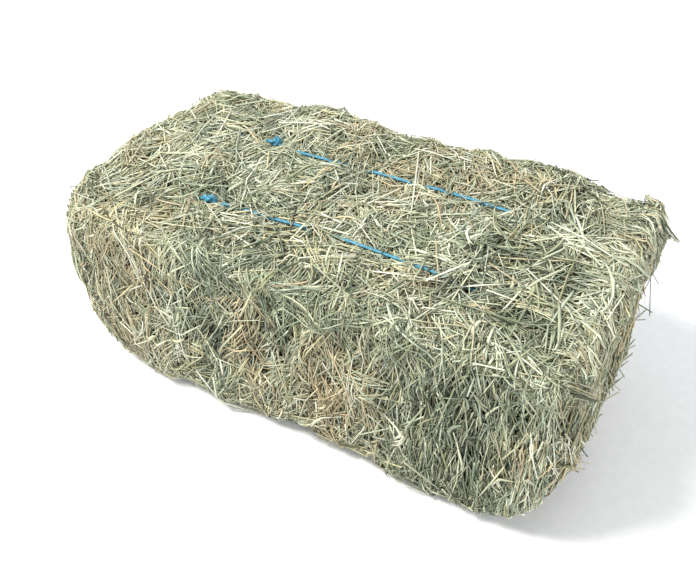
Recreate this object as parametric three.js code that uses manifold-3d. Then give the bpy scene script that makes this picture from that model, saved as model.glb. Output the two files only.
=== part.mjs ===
// Two-string square hay bale: a row of pressed flakes held together by two loops of baler twine.
// Millimetres. +X runs along the bale, +Y across it, +Z up. The origin is under its middle, on the ground.
import * as THREE from 'three';
import Module from 'manifold-3d';

// Driving dimensions of the whole bale.
const LENGTH = 904;
const WIDTH = 457;
const HEIGHT = 356;

// The flakes: pressed wafers of hay, side by side along X.
const FLAKE_COUNT = 13;
const FLAKE_GAP = 0.4;
const THICKNESS_VARIATION = 0.1;
const THICKNESS_PHASE = 2.4;
const EDGE_PINCH = 4;
const BULGE_SHARE = 0.25;
const END_STEPS = 6;

// How far the two ends are rounded off: seen from above, along their top edge and along their foot.
const START_RADII = { plan: 85, top: 44, bottom: 147 };
const END_RADII = { plan: 36, top: 24, bottom: 147 };

// The cross-section of a flake, with a soft valley in its top under each string.
const TOP_CORNER_RADIUS = 12;
const BOTTOM_CORNER_RADIUS = 48;
const CORNER_GROWTH = 0.39;
const FLAKE_STEPS = { corner: 4, top: 14, bottom: 2, upright: 3 };
const VALLEY_DEPTH = 5;
const VALLEY_WIDTH = 30;

// The strings: blue polypropylene twine, each one closed loop lying in a groove that it presses into the hay.
const TWINE_DIAMETER = 4;
const TWINE_SPACING = 194;
const TWINE_SIDES = 8;
const TWINE_RADII = { topRight: 34, topLeft: 50, bottomLeft: 140, bottomRight: 140 };
const TWINE_STEPS = { corner: 7, top: 8, bottom: 8, upright: 4 };
const TWINE_TOP_DEPTH = VALLEY_DEPTH + 1 + TWINE_DIAMETER / 2;
const TWINE_BOTTOM_DEPTH = 0.8 + TWINE_DIAMETER / 2;
const TWINE_END_DEPTH = 7;
const GROOVE_CLEARANCE = 0.4;
const GROOVE_WIDTH = TWINE_DIAMETER + 2 * GROOVE_CLEARANCE;

// The knot on top of each string and its two cut tails.
const KNOT_X = -208;
const KNOT_LENGTH = 20;
const KNOT_WIDTH = 13;
const KNOT_HEIGHT = 11;
const TAIL_LENGTH = 26;
const TAIL_SPREAD = 7;
const TAIL_RISE = 3;
const TAIL_DIAMETER = 3;
const TAIL_STEPS = 5;
const POCKET_SIZE = new THREE.Vector3(78, 24, 40);
const POCKET_FLOOR = HEIGHT - TWINE_TOP_DEPTH - KNOT_HEIGHT / 2 - 1;

// Colours of dry grass hay from tan to green, and of the twine.
const STRAW_COLOUR = new THREE.Color(0xaaa476);
const GREEN_COLOUR = new THREE.Color(0x7c8a63);
const TWINE_COLOUR = new THREE.Color(0x1f93c4);

const wasm = await Module();
wasm.setup();

// How far the outline draws in at x, where the last stretch before each end is rounded.
function endRounding(x, edge) {
  const radius = (x < 0 ? START_RADII : END_RADII)[edge];
  const past = Math.max(0, Math.abs(x) - (LENGTH / 2 - radius));
  return radius - Math.sqrt(Math.max(0, radius ** 2 - past ** 2));
}

// Depth of the soft valleys that the two strings pull into the top at y.
function valleyDepth(y) {
  const offset = (Math.abs(y) - TWINE_SPACING / 2) / VALLEY_WIDTH;
  return VALLEY_DEPTH * Math.exp(-(offset ** 2));
}

// Points from start towards end, without the end itself.
function linePoints(start, end, steps) {
  const points = [];
  for (let step = 0; step < steps; step += 1) {
    points.push(start.clone().lerp(end, step / steps));
  }
  return points;
}

// Points of a quarter circle, without its last point.
function cornerPoints(centre, radius, startAngle, steps) {
  const points = [];
  for (let step = 0; step < steps; step += 1) {
    const angle = startAngle + (Math.PI / 2) * (step / steps);
    points.push(new THREE.Vector2(centre.x + radius * Math.cos(angle), centre.y + radius * Math.sin(angle)));
  }
  return points;
}

// Closed rectangle with rounded corners, anticlockwise, with the given steps along its corners and sides.
function roundedOutline(low, high, radii, steps) {
  const { topRight, topLeft, bottomLeft, bottomRight } = radii;
  const at = (x, y) => new THREE.Vector2(x, y);
  const corner = (x, y, radius, turn) => cornerPoints(at(x, y), radius, turn * Math.PI, steps.corner);
  return [
    ...linePoints(at(high.x, low.y + bottomRight), at(high.x, high.y - topRight), steps.upright),
    ...corner(high.x - topRight, high.y - topRight, topRight, 0),
    ...linePoints(at(high.x - topRight, high.y), at(low.x + topLeft, high.y), steps.top),
    ...corner(low.x + topLeft, high.y - topLeft, topLeft, 0.5),
    ...linePoints(at(low.x, high.y - topLeft), at(low.x, low.y + bottomLeft), steps.upright),
    ...corner(low.x + bottomLeft, low.y + bottomLeft, bottomLeft, 1),
    ...linePoints(at(low.x + bottomLeft, low.y), at(high.x - bottomRight, low.y), steps.bottom),
    ...corner(high.x - bottomRight, low.y + bottomRight, bottomRight, 1.5),
  ];
}

// The flake's outline across the bale at x. Its foot stays flat on the ground, and pinch draws in the rest.
function flakeOutline(x, pinch) {
  const inset = endRounding(x, 'plan');
  const side = WIDTH / 2 - pinch - inset;
  const low = new THREE.Vector2(-side, endRounding(x, 'bottom'));
  const high = new THREE.Vector2(side, HEIGHT - pinch - endRounding(x, 'top'));
  const top = TOP_CORNER_RADIUS + CORNER_GROWTH * inset;
  const bottom = BOTTOM_CORNER_RADIUS + CORNER_GROWTH * inset;
  const radii = { topRight: top, topLeft: top, bottomLeft: bottom, bottomRight: bottom };
  const outline = roundedOutline(low, high, radii, FLAKE_STEPS);
  return outline.map((point) => {
    const lowered = point.y > HEIGHT / 2 ? point.y - valleyDepth(point.x) : point.y;
    return new THREE.Vector3(x, point.x, lowered);
  });
}

// Solid from its corner points and the indices of its triangles.
function indexedGeometry(points, indices) {
  const geometry = new THREE.BufferGeometry();
  const positions = points.flatMap((point) => point.toArray());
  geometry.setAttribute('position', new THREE.Float32BufferAttribute(positions, 3));
  geometry.setIndex(indices);
  return geometry;
}

// Two triangles between neighbouring points of one ring and another.
function ringQuad(ring, otherRing, point, nextPoint) {
  const first = [ring + point, otherRing + point, ring + nextPoint];
  const second = [otherRing + point, otherRing + nextPoint, ring + nextPoint];
  return [...first, ...second];
}

// Solid through a row of outlines that all have the same number of points, closed at both ends.
function loftGeometry(rings) {
  const count = rings[0].length;
  const points = rings.flat();
  const indices = [];
  for (let ring = 0; ring + 1 < rings.length; ring += 1) {
    for (let point = 0; point < count; point += 1) {
      indices.push(...ringQuad((ring + 1) * count, ring * count, point, (point + 1) % count));
    }
  }
  const lastRing = (rings.length - 1) * count;
  const startCentre = points.length;
  const endCentre = startCentre + 1;
  const middle = (ring) => ring.reduce((sum, p) => sum.add(p), new THREE.Vector3()).divideScalar(count);
  points.push(middle(rings[0]), middle(rings[rings.length - 1]));
  for (let point = 0; point < count; point += 1) {
    const next = (point + 1) % count;
    indices.push(startCentre, next, point);
    indices.push(endCentre, lastRing + point, lastRing + next);
  }
  return indexedGeometry(points, indices);
}

// Closed mesh to a solid that can be joined and cut.
function toSolid(geometry) {
  const welded = new Map();
  const vertices = [];
  const position = geometry.getAttribute('position');
  const order = geometry.index ? Array.from(geometry.index.array) : [...Array(position.count).keys()];
  const triangles = order.map((corner) => {
    const place = [position.getX(corner), position.getY(corner), position.getZ(corner)];
    const key = place.map((value) => Math.round(value * 1e4)).join(',');
    if (!welded.has(key)) {
      welded.set(key, welded.size);
      vertices.push(...place);
    }
    return welded.get(key);
  });
  const mesh = new wasm.Mesh({
    numProp: 3,
    vertProperties: new Float32Array(vertices),
    triVerts: new Uint32Array(triangles),
  });
  return new wasm.Manifold(mesh);
}

// Solid back to a three.js geometry.
function toGeometry(solid) {
  const mesh = solid.getMesh();
  const geometry = new THREE.BufferGeometry();
  geometry.setAttribute('position', new THREE.BufferAttribute(mesh.vertProperties, mesh.numProp));
  geometry.setIndex(new THREE.BufferAttribute(mesh.triVerts, 1));
  const flat = geometry.toNonIndexed();
  flat.computeVertexNormals();
  return flat;
}

// Closed loop of a string in its upright plane, drawn in by inset. x is along the bale and y is height.
function twineLoop(inset) {
  const end = LENGTH / 2 - TWINE_END_DEPTH - TWINE_DIAMETER / 2 - inset;
  const low = new THREE.Vector2(-end, TWINE_BOTTOM_DEPTH + inset);
  const high = new THREE.Vector2(end, HEIGHT - TWINE_TOP_DEPTH - inset);
  const radii = { ...TWINE_RADII };
  Object.keys(radii).forEach((corner) => {
    radii[corner] -= inset;
  });
  return roundedOutline(low, high, radii, TWINE_STEPS);
}

// Tube round the closed loop at y.
function loopTube(y) {
  const loop = twineLoop(0);
  const count = loop.length;
  const points = [];
  const indices = [];
  for (let step = 0; step < count; step += 1) {
    const before = loop[(step + count - 1) % count];
    const after = loop[(step + 1) % count];
    const outward = new THREE.Vector2(after.y - before.y, before.x - after.x).normalize();
    for (let side = 0; side < TWINE_SIDES; side += 1) {
      const angle = (2 * Math.PI * side) / TWINE_SIDES;
      const place = loop[step].clone().addScaledVector(outward, (TWINE_DIAMETER / 2) * Math.cos(angle));
      const across = (TWINE_DIAMETER / 2) * Math.sin(angle);
      points.push(new THREE.Vector3(place.x, y + across, place.y));
      const nextStep = (step + 1) % count;
      const nextSide = (side + 1) % TWINE_SIDES;
      indices.push(...ringQuad(nextStep * TWINE_SIDES, step * TWINE_SIDES, side, nextSide));
    }
  }
  return indexedGeometry(points, indices);
}

// One cut end of the string, leaving the knot along the bale and spreading to one side.
function tailGeometry(y, direction) {
  const knot = new THREE.Vector3(KNOT_X, y, HEIGHT - TWINE_TOP_DEPTH);
  const reach = new THREE.Vector3(direction * TAIL_LENGTH, direction * TAIL_SPREAD, TAIL_RISE);
  const bend = new THREE.Vector3(0.5 * reach.x, 0.6 * reach.y, reach.z);
  const extrudePath = new THREE.CatmullRomCurve3([knot, knot.clone().add(bend), knot.clone().add(reach)]);
  const section = new THREE.Shape();
  section.absarc(0, 0, TAIL_DIAMETER / 2, 0, 2 * Math.PI);
  const curveSegments = TWINE_SIDES / 2;
  return new THREE.ExtrudeGeometry(section, { steps: TAIL_STEPS, curveSegments, extrudePath });
}

// The whole string at y: its loop, its knot and the knot's two tails.
function twineSolid(y) {
  const knot = new THREE.SphereGeometry(0.5, 12, 8);
  knot.scale(KNOT_LENGTH, KNOT_WIDTH, KNOT_HEIGHT);
  knot.translate(KNOT_X, y, HEIGHT - TWINE_TOP_DEPTH);
  return toSolid(loopTube(y))
    .add(toSolid(knot))
    .add(toSolid(tailGeometry(y, 1)))
    .add(toSolid(tailGeometry(y, -1)));
}

// What a string at y presses out of the hay: a groove all the way round and a pocket for the knot.
function grooveSolid(y) {
  const margin = 30;
  const shape = new THREE.Shape();
  shape.moveTo(-LENGTH / 2 - margin, -margin);
  shape.lineTo(LENGTH / 2 + margin, -margin);
  shape.lineTo(LENGTH / 2 + margin, HEIGHT + margin);
  shape.lineTo(-LENGTH / 2 - margin, HEIGHT + margin);
  shape.closePath();
  shape.holes.push(new THREE.Path(twineLoop(TWINE_DIAMETER / 2 + GROOVE_CLEARANCE)));
  const groove = new THREE.ExtrudeGeometry(shape, { depth: GROOVE_WIDTH, bevelEnabled: false });
  groove.rotateX(Math.PI / 2);
  groove.translate(0, y + GROOVE_WIDTH / 2, 0);
  const pocket = new THREE.BoxGeometry(...POCKET_SIZE.toArray());
  pocket.translate(KNOT_X, y, POCKET_FLOOR + POCKET_SIZE.z / 2);
  return toSolid(groove).add(toSolid(pocket));
}

// Where the flakes meet along the bale. Their thickness varies a little, as the hay was fed in unevenly.
function flakeEdge(index) {
  const inner = index > 0 && index < FLAKE_COUNT;
  const shift = inner ? THICKNESS_VARIATION * Math.sin(THICKNESS_PHASE * index) : 0;
  return LENGTH * ((index + shift) / FLAKE_COUNT - 0.5);
}

// Sections of the rounded outer stretch of the flake at one end of the bale, on the side of sign.
function endSections(sign, thickness) {
  const sections = [];
  for (let step = 1; step <= END_STEPS; step += 1) {
    const angle = (Math.PI / 2) * (step / END_STEPS);
    const x = sign * (LENGTH / 2 - thickness * (1 - Math.sin(angle)));
    sections.push({ x, pinch: 0 });
  }
  return sections;
}

// Sections of a flake along X: full size in its middle and drawn in where it meets a neighbour.
function flakeSections(index) {
  const start = flakeEdge(index) + FLAKE_GAP / 2;
  const end = flakeEdge(index + 1) - FLAKE_GAP / 2;
  const thickness = end - start;
  const bulge = BULGE_SHARE * thickness;
  const meetStart = [{ x: start, pinch: EDGE_PINCH }, { x: start + bulge, pinch: 0 }];
  const meetEnd = [{ x: end - bulge, pinch: 0 }, { x: end, pinch: EDGE_PINCH }];
  const sections = [
    ...(index > 0 ? meetStart : endSections(-1, thickness)),
    ...(index + 1 < FLAKE_COUNT ? meetEnd : endSections(1, thickness)),
  ];
  return sections.sort((a, b) => a.x - b.x);
}

// One flake, cut by what the strings press out of it.
function flakeSolid(index, grooves) {
  const rings = flakeSections(index).map(({ x, pinch }) => flakeOutline(x, pinch));
  return toSolid(loftGeometry(rings)).subtract(grooves);
}

function hayMaterial(index) {
  const share = 0.5 + 0.5 * Math.sin(2.1 * index);
  const color = STRAW_COLOUR.clone().lerp(GREEN_COLOUR, share);
  return new THREE.MeshStandardMaterial({ color, roughness: 0.9, metalness: 0 });
}

function namedMesh(name, solid, material) {
  const mesh = new THREE.Mesh(toGeometry(solid), material);
  mesh.name = name;
  return mesh;
}

const bale = new THREE.Group();
const strings = { twine_front: -TWINE_SPACING / 2, twine_back: TWINE_SPACING / 2 };
const grooves = grooveSolid(strings.twine_front).add(grooveSolid(strings.twine_back));

for (let index = 0; index < FLAKE_COUNT; index += 1) {
  const name = `flake_${String(index + 1).padStart(2, '0')}`;
  bale.add(namedMesh(name, flakeSolid(index, grooves), hayMaterial(index)));
}

for (const [name, y] of Object.entries(strings)) {
  const material = new THREE.MeshStandardMaterial({ color: TWINE_COLOUR, roughness: 0.45, metalness: 0 });
  bale.add(namedMesh(name, twineSolid(y), material));
}

export default bale;
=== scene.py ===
import bpy
import numpy as np
from mathutils import Matrix, Vector


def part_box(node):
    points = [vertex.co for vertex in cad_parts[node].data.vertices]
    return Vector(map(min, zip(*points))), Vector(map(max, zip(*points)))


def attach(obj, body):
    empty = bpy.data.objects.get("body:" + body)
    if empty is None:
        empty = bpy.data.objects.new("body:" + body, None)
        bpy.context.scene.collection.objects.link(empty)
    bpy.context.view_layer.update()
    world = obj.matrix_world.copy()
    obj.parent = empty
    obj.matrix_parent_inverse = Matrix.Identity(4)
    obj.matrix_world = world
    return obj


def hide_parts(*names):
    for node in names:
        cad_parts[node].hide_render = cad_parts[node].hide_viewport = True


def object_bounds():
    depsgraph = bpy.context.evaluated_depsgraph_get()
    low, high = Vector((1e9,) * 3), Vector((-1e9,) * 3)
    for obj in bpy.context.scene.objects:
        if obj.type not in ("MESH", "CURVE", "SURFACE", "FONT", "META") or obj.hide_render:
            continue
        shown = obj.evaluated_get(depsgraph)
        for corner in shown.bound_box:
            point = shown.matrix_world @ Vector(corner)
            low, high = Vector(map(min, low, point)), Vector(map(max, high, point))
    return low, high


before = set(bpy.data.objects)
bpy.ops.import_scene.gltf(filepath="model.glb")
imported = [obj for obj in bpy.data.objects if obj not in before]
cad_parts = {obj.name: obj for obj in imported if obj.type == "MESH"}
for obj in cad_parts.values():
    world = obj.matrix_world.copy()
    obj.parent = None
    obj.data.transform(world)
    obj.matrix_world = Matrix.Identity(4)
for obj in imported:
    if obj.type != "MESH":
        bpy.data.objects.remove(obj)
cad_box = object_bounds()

MM = 0.001
SEED = 20

LOW = np.array(cad_box[0])
HIGH = np.array(cad_box[1])
LENGTH, WIDTH, HEIGHT = HIGH - LOW
FLAKES = sorted(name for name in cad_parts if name.startswith("flake"))
STRINGS = {"twine_front": -97 * MM, "twine_back": 97 * MM}
SEAMS = np.array([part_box(name)[1][0] for name in FLAKES[:-1]])

# How the hay is rounded off at the two ends of the bale and along it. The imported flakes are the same, but for
# crisper long edges on top.
START_RADII = {"plan": 85 * MM, "top": 44 * MM, "bottom": 147 * MM}
END_RADII = {"plan": 36 * MM, "top": 24 * MM, "bottom": 147 * MM}
TOP_CORNER_RADIUS = 24 * MM
BOTTOM_CORNER_RADIUS = 48 * MM
CORNER_GROWTH = 0.39
BLEND = 2 * MM

# The strings: the height of their middle over the ground on top and below, how far out they run at the
# ends, the turns of the loop, the knots, and where each one wanders sideways on the top (x and y in mm).
TWINE_RADIUS = 2.5 * MM
TWINE_TOP_Z = HEIGHT - 6.5 * MM
TWINE_BOTTOM_Z = 3.5 * MM
TWINE_END_X = LENGTH / 2 - 9 * MM
TWINE_RADII = {"start_top": 50 * MM, "end_top": 34 * MM, "bottom": 140 * MM}
TWINE_PITCH = 34 * MM
TWINE_YARNS = 3
TWINE_FLATNESS = 1.2
KNOT_X = -210 * MM
KNOT_SIZE = (9.5 * MM, 5.6 * MM, 3.4 * MM)
KNOT_YARN_RADIUS = 2.9 * MM
KNOT_RISE = 2.0 * MM
KNOT_TURNS = {"twine_front": 0, "twine_back": 65}
KNOT_CLEARING = np.array([15, 10]) * MM
KNOT_FLOOR = TWINE_TOP_Z - 3 * MM
STRING_PATHS = {
    "twine_front": [(-400, -97), (-210, -100), (-110, -94), (0, -88), (140, -90), (215, -95), (400, -97)],
    "twine_back": [(-400, 97), (-213, 97), (-158, 88), (-60, 91), (60, 96), (110, 99), (233, 95), (400, 97)],
}

# Stretches of each string that the hay leaves in view on the top: start and end in mm, and how often a stem
# crosses over.
BARE_STRETCHES = {
    "twine_front": [(-228, -194, 0.0), (-188, -156, 0.12), (-148, -88, 0.2), (-88, -32, 0.08),
                    (10, 140, 0.015), (160, 222, 0.2)],
    "twine_back": [(-230, -198, 0.0), (-166, -92, 0.06), (-92, -60, 0.2), (-20, 60, 0.12),
                   (82, 120, 0.01), (122, 236, 0.07)],
}
BARE_RAMP = 12 * MM

# How deep the hay's surface lies over a buried and a bare string, and how far a buried string sinks.
COVERED_DEPTH = -1 * MM
BARE_DEPTH = 9 * MM
VALLEY_HALF_WIDTH = 15 * MM
BURIED_DEPTH = 6 * MM

# Lumps and hollows of the outline: middle, radius and height, in mm.
LUMPS = [
    ((-438, -178, 215), 95, 24),
    ((-445, -110, 345), 45, 7),
    ((-445, -20, 345), 35, 7),
    ((-400, 205, 350), 100, -9),
    ((-140, 225, 350), 90, 7),
    ((250, 225, 350), 85, 15),
    ((375, 222, 350), 40, -9),
    ((450, 222, 245), 36, 12),
    ((445, 212, 165), 75, -28),
    ((445, 205, 75), 70, -22),
    ((400, -190, 10), 80, -14),
    ((275, -225, 15), 40, 6),
    ((40, -220, 15), 130, -11),
    ((-330, -225, 20), 60, -10),
    ((120, -224, 330), 90, 4),
    ((130, -225, 10), 50, -8),
]
WAVES = 26
WAVE_HEIGHT = 1.25 * MM
WAVE_LENGTHS = (45, 170)
CREASE_DEPTH = 4 * MM
CREASE_HALF_WIDTH = 6 * MM
RELIEF_RANGE = (-28 * MM, 24 * MM)
TOP_ZONE = 60 * MM

# The box that no strand leaves.
REACH_LOW = np.array([-LENGTH / 2 - 28 * MM, -WIDTH / 2 - 17 * MM, 0.3 * MM])
REACH_HIGH = np.array([LENGTH / 2 + 28 * MM, WIDTH / 2 + 17 * MM, HEIGHT + 13 * MM])

# The palette: one long colour ramp cut into rows, and a few columns of skins in each row. Stems take the
# first columns and blades the others. The tones are 8-bit sRGB, from deep to pale.
ROWS = 36
COLUMNS = 4
STEM_COLUMNS = 2
TONES = {
    "shade": (72, 74, 54),
    "dark_green": (90, 103, 81),
    "blue_green": (122, 137, 119),
    "green": (140, 151, 122),
    "olive": (150, 151, 116),
    "sage": (168, 177, 154),
    "khaki": (178, 169, 137),
    "orange": (188, 169, 136),
    "straw": (203, 195, 154),
    "pale_green": (198, 206, 180),
    "pale": (214, 215, 192),
    "bleached": (230, 230, 213),
}
TONE_NAMES = list(TONES)

# The odds of the three darkest tones, for strands drawn from those as painted shade, and how many strands keep
# their tuft's tone.
PAINTED_SHADE_TONE_ODDS = [0.5, 0.35, 0.15]
TUFT_TONE_SHARE = 0.68

# How often each tone turns up in hay of each kind. The shade tone in these mixes is painted shade: dark strands
# that stand in for the shadow in the gaps between strands.
MIXES = {
    "bright": {"olive": 1, "sage": 5, "khaki": 1, "straw": 2, "pale_green": 6, "pale": 5, "bleached": 0.8},
    "common": {
        "green": 3, "olive": 2, "sage": 6, "khaki": 1,
        "straw": 1, "pale_green": 5, "pale": 3, "bleached": 0.5,
    },
    "pale": {"khaki": 2, "straw": 5, "pale": 4, "sage": 2, "bleached": 1},
    "tan": {
        "shade": 0.5, "olive": 2, "sage": 2, "khaki": 6,
        "orange": 1, "straw": 4, "pale": 2.5, "bleached": 0.7,
    },
    "orange": {"khaki": 5, "orange": 5, "straw": 4, "pale": 1.5},
    "brown": {
        "shade": 0.8, "green": 2, "olive": 3, "sage": 3.5,
        "khaki": 5, "orange": 0.8, "straw": 2, "pale": 2.3,
    },
    "green": {
        "dark_green": 2.6, "blue_green": 3, "green": 5,
        "olive": 1.5, "sage": 5, "pale_green": 3, "pale": 1.2,
    },
    "dark": {
        "shade": 3, "dark_green": 5, "blue_green": 4, "green": 4,
        "olive": 2, "sage": 3, "pale_green": 2.4,
    },
}

# What the long sides show of each flake, from the -X end to the +X end.
SIDE_MIXES = [
    "brown", "tan", "tan", "common", "green", "tan", "green",
    "tan", "brown", "green", "dark", "dark", "green",
]

# How often a tuft takes its flake's side mix, and the mix of the +X end in its place. Elsewhere a slow drift
# over the surface picks the mix: above a level, below one, or near zero.
SIDE_MIX_SHARE = {"front": 0.85, "back": 0.85, "start": 0.5, "end": 0.6}
OTHER_SIDE_MIX_SHARE = 0.12
END_MIX = "brown"
GREEN_ABOVE = 0.75
DARK_ABOVE = 1.8
BROWN_BELOW = -1.0
BRIGHT_WITHIN = 0.3

# Patches where another kind of hay shows: middle and radius in mm, and its mix.
PATCHES = [
    ((-330, 60, 356), 130, "bright"),
    ((-355, 115, 356), 40, "green"),
    ((-230, -90, 356), 60, "green"),
    ((-285, -205, 356), 40, "tan"),
    ((-100, -155, 356), 44, "pale"),
    ((-65, -45, 356), 34, "dark"),
    ((-10, -140, 356), 30, "dark"),
    ((-130, 90, 356), 60, "green"),
    ((25, 130, 356), 34, "orange"),
    ((65, 45, 356), 40, "tan"),
    ((15, -45, 356), 36, "pale"),
    ((190, 145, 356), 46, "orange"),
    ((160, -145, 356), 36, "tan"),
    ((35, -190, 356), 36, "pale"),
    ((90, -235, 348), 80, "green"),
    ((-70, -235, 348), 50, "green"),
    ((290, 180, 356), 30, "tan"),
    ((260, -10, 356), 60, "dark"),
    ((340, -100, 356), 80, "green"),
    ((385, -185, 356), 50, "dark"),
    ((420, 70, 356), 90, "common"),
    ((-370, -228, 130), 50, "tan"),
    ((-280, -228, 300), 36, "orange"),
    ((-220, -228, 255), 28, "dark"),
    ((-262, -228, 130), 28, "green"),
    ((-220, -228, 110), 44, "pale"),
    ((-130, -228, 190), 36, "dark"),
    ((-62, -228, 260), 36, "orange"),
    ((-72, -228, 195), 40, "orange"),
    ((-68, -228, 130), 48, "pale"),
    ((-12, -228, 230), 44, "dark"),
    ((70, -228, 250), 44, "tan"),
    ((20, -228, 90), 60, "tan"),
    ((90, -228, 150), 54, "orange"),
    ((135, -228, 290), 30, "dark"),
    ((300, -228, 255), 66, "dark"),
    ((300, -228, 165), 36, "dark"),
    ((290, -228, 70), 60, "green"),
    ((389, -228, 179), 24, "orange"),
    ((452, -110, 290), 80, "tan"),
    ((452, -150, 110), 50, "tan"),
    ((452, -163, 200), 50, "orange"),
    ((452, 20, 250), 80, "brown"),
]

# Kinds of strand: how many cross-sections, the width in mm, the thickness as a share of half the width, the
# length in mm, how much they bend, and whether their ends are cut blunt. Pairs are ranges to draw from.
KIND_FIELDS = ("rings", "width", "flat", "length", "bend", "blunt")
KIND_ROWS = {
    "stem": (3, (1.5, 3.0), (0.75, 0.95), (28, 110), 0.05, True),
    "blade": (3, (2.2, 4.4), (0.18, 0.4), (28, 105), 0.10, False),
    "under": (2, (2.4, 4.6), (0.18, 0.4), (30, 95), 0.08, False),
    "chaff": (1, (1.1, 2.2), (0.4, 0.9), (12, 38), 0.10, False),
    "fill": (1, (4.5, 7.5), (0.2, 0.4), (35, 75), 0.05, False),
    "fringe": (4, (1.8, 4.4), (0.3, 0.6), (40, 125), 0.06, False),
    "leaf": (3, (4.0, 7.0), (0.12, 0.25), (25, 70), 0.2, False),
    "ribbon": (3, (3.4, 5.6), (0.2, 0.3), (55, 120), 0.06, False),
    "long": (3, (2.2, 3.6), (0.6, 0.9), (80, 190), 0.03, True),
}
KINDS = {name: dict(zip(KIND_FIELDS, row)) for name, row in KIND_ROWS.items()}

# Layers of the hay from the inside out: strands per square metre, how many make a tuft, how wide a tuft is
# and how deep it lies in mm, how much strands tilt, how far they stand out in mm, and how often they are
# drawn from the darkest tones, as painted shade on the deeper layers.
LAYER_FIELDS = ("kind", "density", "tuft", "wide", "depth", "tilt", "over", "dark")
LAYER_ROWS = [
    ("fill", 7800, 5, 22, (15, 26), 0.08, 0, 0.7),
    ("under", 8200, 10, 12, (8, 17), 0.12, 1, 0.25),
    ("stem", 7600, 9, 11, (5, 13), 0.12, 2, 0.1),
    ("blade", 7600, 12, 11, (2, 9), 0.15, 4, 0.0),
    ("chaff", 8000, 4, 14, (1, 9), 0.30, 4, 0.0),
    ("stem", 6000, 8, 11, (0, 6), 0.15, 6, 0.0),
    ("stem", 900, 1, 0, (-2, 3), 0.15, 8, 0.0),
    ("leaf", 520, 2, 12, (-1, 3), 0.15, 6, 0.0),
    ("long", 260, 1, 0, (-2, 2), 0.08, 8, 0.0),
]
LAYERS = [dict(zip(LAYER_FIELDS, row)) for row in LAYER_ROWS]

# Wide pale blades that fan out on the top near the +X end.
RIBBONS = dict(zip(LAYER_FIELDS, ("ribbon", 2200, 6, 9, (-2, 2), 0.1, 9, 0)))
RIBBONS_FROM = 0.32

# How full the faces are that the photo doesn't show.
HIDDEN_SHARE = {"bottom": 0.22, "back": 0.85, "start": 0.85}

# The share of tufts that fan out of one root, and how far strands of a spray, of a tuft and lone ones turn
# from their tuft's way, in degrees. On the upright faces they turn less.
SPRAY_SHARE = 0.45
FANS = {"spray": 30, "tuft": 10, "lone": 45}
UPRIGHT_FAN_SHARE = 0.55

# Which way tufts run, as mean and spread in degrees from the face's level axis. On the long sides the hay
# hangs straight down past HANGING_FROM, and on the top it fans out along the bale near the +X end.
TOP_LEAN = (60, 38)
TOP_END_LEAN = (0, 24)
SIDE_LEAN = (72, 20)
HANGING_LEAN = (90, 8)
END_LEAN = (90, 14)
HANGING_FROM = 0.2
FRINGE_LEAN = (90, 32)
FRINGE_PER_METRE = 620

# The studio: the camera by its angles in degrees, aim, distance and framing, and the lights by place, width,
# power and colour.
CAMERA_ANGLES = {"azimuth": 32.07, "elevation": 40.557, "roll": -2.586}
CAMERA_TARGET = np.array([-0.0223, 0.0023, HEIGHT / 2])
CAMERA_DISTANCE = 1.5348
CAMERA_LENS = 45.54
CAMERA_SHIFT = (0.0064, -0.0046)
LIGHTS = {
    "key": ((-1.25, -1.3, 3.2), 1.1, 160, (1.0, 0.985, 0.95)),
    "fill": ((2.4, -1.6, 1.6), 1.6, 30, (1, 1, 1)),
    "back": ((0.6, 2.6, 2.0), 1.6, 30, (1, 1, 1)),
}
SKY_COLOUR = (0.93, 0.96, 1.0, 1)
SKY_STRENGTH = 0.7


def linear(srgb):
    """Linear colour of an 8-bit sRGB one."""
    c = np.array(srgb) / 255
    return np.where(c <= 0.04045, c / 12.92, ((c + 0.055) / 1.055) ** 2.4)


# ---- The hay's outer surface, as a signed distance ----


def quarter(past, radius):
    """How far a quarter circle draws in, past its start."""
    past = np.clip(past, 0, radius)
    return radius - np.sqrt(radius**2 - past**2)


def end_radius(x, edge):
    """Radius of an edge of the end that x is nearer to."""
    return np.where(x < 0, START_RADII[edge], END_RADII[edge])


def end_inset(x, edge):
    """How far the end's rounding draws the outline in at x."""
    radius = end_radius(x, edge)
    return quarter(np.abs(x) - (LENGTH / 2 - radius), radius)


def rounded(a, half, radius_low, b, low, high, radius_high):
    """Signed distance to a rounded rectangle in two axes. Its low and high corners have their own radii."""
    middle = (low + high) / 2
    radius = np.where(b < middle, radius_low, radius_high)
    qa = np.abs(a) - half + radius
    qb = np.abs(b - middle) - (high - low) / 2 + radius
    outside = np.hypot(np.maximum(qa, 0), np.maximum(qb, 0))
    return outside + np.minimum(np.maximum(qa, qb), 0) - radius


def surface_distance(p):
    """Signed distance from points to the hay's outer surface, negative inside."""
    x, y, z = p[..., 0], p[..., 1], p[..., 2]
    inset = end_inset(x, "plan")
    plan_radius = end_radius(x, "plan")
    seen_above = rounded(x, LENGTH / 2, plan_radius, y, -WIDTH / 2, WIDTH / 2, plan_radius)
    seen_along = rounded(x, LENGTH / 2, end_radius(x, "bottom"), z, 0.0, HEIGHT, end_radius(x, "top"))
    growth = CORNER_GROWTH * inset
    low, high = BOTTOM_CORNER_RADIUS + growth, TOP_CORNER_RADIUS + growth
    foot, head = end_inset(x, "bottom"), HEIGHT - end_inset(x, "top")
    section = rounded(y, WIDTH / 2 - inset, low, z, foot, head, high)
    stacked = np.stack([seen_above, seen_along, section]) / BLEND
    return BLEND * np.logaddexp.reduce(stacked, axis=0)


def surface_normal(p):
    """Outward direction of the surface at points."""
    step = 0.5 * MM
    slopes = []
    for axis in range(3):
        shift = np.zeros(3)
        shift[axis] = step
        slopes.append(surface_distance(p + shift) - surface_distance(p - shift))
    normal = np.stack(slopes, -1)
    return normal / np.maximum(np.linalg.norm(normal, axis=-1, keepdims=True), 1e-12)


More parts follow.
